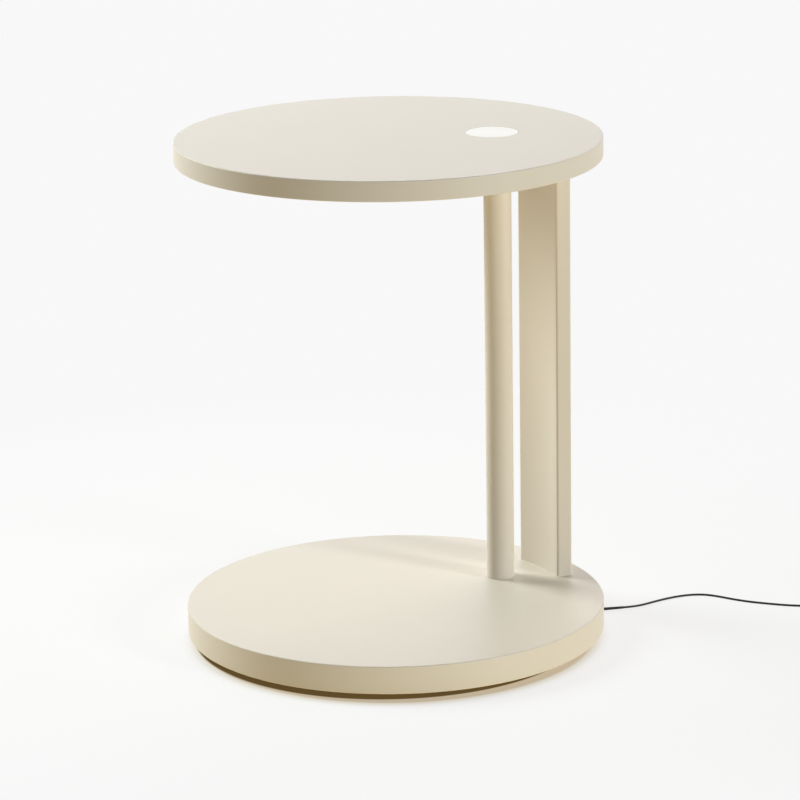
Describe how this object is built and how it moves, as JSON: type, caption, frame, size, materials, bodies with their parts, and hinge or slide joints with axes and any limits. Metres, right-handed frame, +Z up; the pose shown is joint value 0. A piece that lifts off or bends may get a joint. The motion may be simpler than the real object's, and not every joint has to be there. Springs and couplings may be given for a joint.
{
  "type": "side table with light",
  "caption": "Side table with a light: two round boards joined at the rear by a round post and a curved upright, a press light let into the top, and a thin floor cord.",
  "frame": {"origin": "on the floor, under the common axis of the two round boards", "axes": "+Z up, the post and upright at the rear at +Y, the open side at -Y, the light to the +X side of the post"},
  "size_m": [0.4297, 0.723, 0.507],
  "materials": {
    "lacquered_board": "satin beige lacquer over board",
    "coated_steel": "satin beige powder coat on steel",
    "coated_aluminium": "satin beige powder coat on an extrusion",
    "bare_steel": "zinc plated",
    "foot_rubber": "matt",
    "cord_black": "satin",
    "tie_fabric": "woven band",
    "plug_black": "fine grain",
    "pin_metal": "nickel plated",
    "bare_aluminium": "turned",
    "circuit_white": "solder-mask white",
    "led_yellow": "phosphor over a moulded base",
    "switch_black": "moulded",
    "opal_lens": "opal, satin"
  },
  "bodies": {
    "table": {"base_board": "lacquered_board", "top_board": "lacquered_board", "base_anchor_plate": "coated_steel", "top_anchor_plate": "coated_steel", "post_tube": "coated_steel", "curved_upright": "coated_aluminium", "base_plate_screws": "bare_steel", "top_plate_screws": "bare_steel", "upright_foot_screws": "bare_steel", "upright_top_screws": "bare_steel", "post_foot_bolt": "bare_steel", "post_top_bolt": "bare_steel", "post_foot_plug": "bare_steel", "post_top_plug": "bare_steel", "return_spring": "bare_steel", "foot_pads": "foot_rubber", "lead_grommet": "foot_rubber", "cord_gland": "cord_black", "cord_lead": "cord_black", "cord_coil": "cord_black", "inner_lead": "cord_black", "cord_tie": "tie_fabric", "plug_relief": "cord_black", "plug_body": "plug_black", "plug_pins": "pin_metal", "light_housing": "bare_aluminium", "led_board": "circuit_white", "lead_connector": "circuit_white", "led_chips": "led_yellow", "switch_body": "switch_black"},
    "light_button": {"light_lens": "opal_lens", "switch_plunger": "switch_black"}
  },
  "joints": [
    {"name": "light_press", "type": "slide", "parent": "table", "child": "light_button", "axis": [0, 0, -1], "range_m": [0, 0.001], "stiffness_N_per_m": 2000, "springref_m": -0.001, "deforming": ["return_spring"]}
  ]
}
